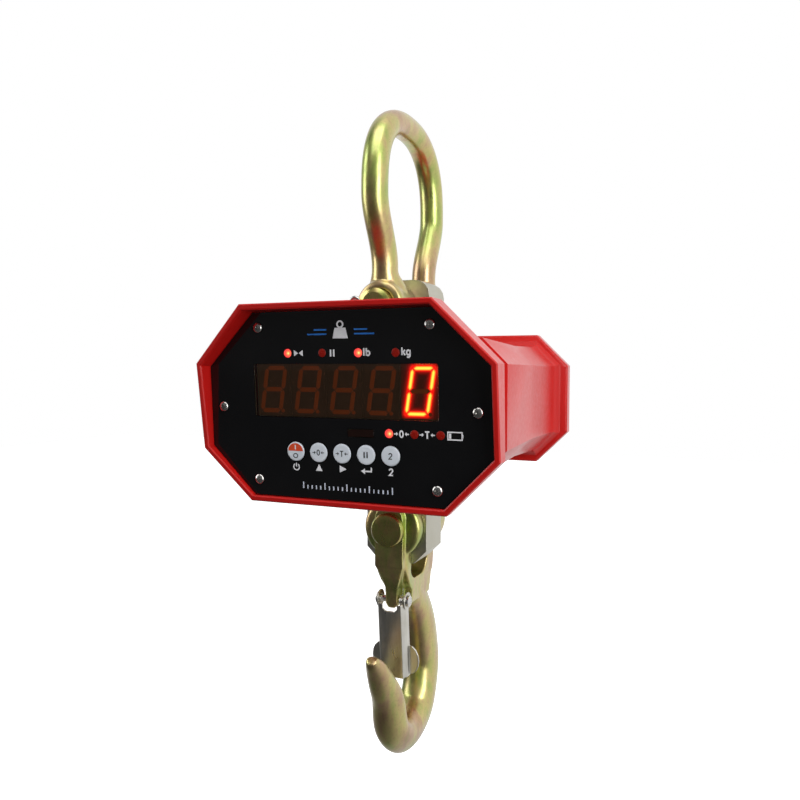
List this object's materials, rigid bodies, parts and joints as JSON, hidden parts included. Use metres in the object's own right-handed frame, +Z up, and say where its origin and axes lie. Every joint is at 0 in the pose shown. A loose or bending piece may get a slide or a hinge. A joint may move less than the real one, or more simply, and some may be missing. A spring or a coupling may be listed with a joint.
{
  "type": "crane scale",
  "caption": "Hanging crane scale: shackle, load cell and latched swivel hook with a sealed, angled display housing between them.",
  "frame": {"origin": "seat inside the crown of the shackle, where the crane's hook bears", "axes": "+X to the right of a person reading the display, +Y from the display towards the rear cover, +Z up along the load line"},
  "size_m": [0.256, 0.2857, 0.5942],
  "materials": {
    "red_paint": "semi-gloss red powder coat",
    "black_panel": "glossy black printed sheet",
    "smoked_filter": "clear smoked red-brown filter",
    "yellow_zinc": "iridescent yellow zinc plating",
    "olive_zinc": "dark olive zinc plating",
    "satin_nickel": "satin nickel plating",
    "bright_steel": "bright zinc plated steel",
    "galvanised_sheet": "bright galvanised sheet",
    "black_rubber": "matt black",
    "pale_key": "satin pale grey",
    "indicator_lens": "tinted translucent lens",
    "led_digit": "dark case with light pipe segments",
    "circuit_board": "green solder mask",
    "battery_case": "satin grey",
    "socket_plastic": "satin black",
    "plated_bracket": "dull zinc plate"
  },
  "bodies": {
    "shackle": {"shackle_bow": "yellow_zinc", "upper_load_pin": "olive_zinc", "upper_split_pin": "bright_steel"},
    "housing": {"front_bezel": "red_paint", "housing_shell": "red_paint", "rear_cover": "red_paint", "display_panel": "black_panel", "display_filter": "smoked_filter", "infrared_window": "smoked_filter", "load_cell": "satin_nickel", "panel_screw_1": "bright_steel", "panel_screw_2": "bright_steel", "panel_screw_3": "bright_steel", "panel_screw_4": "bright_steel", "panel_screw_5": "bright_steel", "panel_screw_6": "bright_steel", "rear_screw_1": "bright_steel", "rear_screw_2": "bright_steel", "rear_screw_3": "bright_steel", "rear_screw_4": "bright_steel", "bracket_bolt_left": "bright_steel", "bracket_bolt_right": "bright_steel", "bezel_gasket": "black_rubber", "rear_gasket": "black_rubber", "cell_seal_top": "black_rubber", "cell_seal_bottom": "black_rubber", "key_switch_strip": "black_rubber", "indicator_stable": "indicator_lens", "indicator_hold": "indicator_lens", "indicator_pound": "indicator_lens", "indicator_kilogram": "indicator_lens", "indicator_zero": "indicator_lens", "indicator_tare": "indicator_lens", "indicator_low_battery": "indicator_lens", "digit_1": "led_digit", "digit_2": "led_digit", "digit_3": "led_digit", "digit_4": "led_digit", "digit_5": "led_digit", "display_board": "circuit_board", "main_board": "circuit_board", "battery_pack": "battery_case", "charge_socket": "socket_plastic", "battery_tray": "plated_bracket", "cell_bracket_left": "plated_bracket", "cell_bracket_right": "plated_bracket"},
    "hook": {"hook_forging": "yellow_zinc", "lower_load_pin": "olive_zinc", "lower_split_pin": "bright_steel", "latch_rivet": "bright_steel", "latch_spring": "bright_steel"},
    "latch": {"latch_plate": "galvanised_sheet"},
    "key_power": {"key_power": "pale_key"},
    "key_zero": {"key_zero": "pale_key"},
    "key_tare": {"key_tare": "pale_key"},
    "key_hold": {"key_hold": "pale_key"},
    "key_second": {"key_second": "pale_key"}
  },
  "joints": [
    {"name": "housing_swing", "type": "hinge", "parent": "shackle", "child": "housing", "pos_m": [0, 0, -0.155], "axis": [0, 1, 0], "range_deg": [-80, 80]},
    {"name": "hook_swing", "type": "hinge", "parent": "housing", "child": "hook", "pos_m": [0, 0, -0.353], "axis": [0, 1, 0], "range_deg": [-75, 75]},
    {"name": "latch_hinge", "type": "hinge", "parent": "hook", "child": "latch", "pos_m": [0, -0.025, -0.4193], "axis": [1, 0, 0], "range_deg": [0, 32], "stiffness_Nm_per_rad": 0.06, "springref_deg": -28.65, "deforming": ["latch_spring"]},
    {"name": "key_power_press", "type": "slide", "parent": "housing", "child": "key_power", "axis": [0, 0.9978, 0.0663], "range_m": [0, 0.0006], "stiffness_N_per_m": 900},
    {"name": "key_zero_press", "type": "slide", "parent": "housing", "child": "key_zero", "axis": [0, 0.9978, 0.0663], "range_m": [0, 0.0006], "stiffness_N_per_m": 900},
    {"name": "key_tare_press", "type": "slide", "parent": "housing", "child": "key_tare", "axis": [0, 0.9978, 0.0663], "range_m": [0, 0.0006], "stiffness_N_per_m": 900},
    {"name": "key_hold_press", "type": "slide", "parent": "housing", "child": "key_hold", "axis": [0, 0.9978, 0.0663], "range_m": [0, 0.0006], "stiffness_N_per_m": 900},
    {"name": "key_second_press", "type": "slide", "parent": "housing", "child": "key_second", "axis": [0, 0.9978, 0.0663], "range_m": [0, 0.0006], "stiffness_N_per_m": 900}
  ]
}
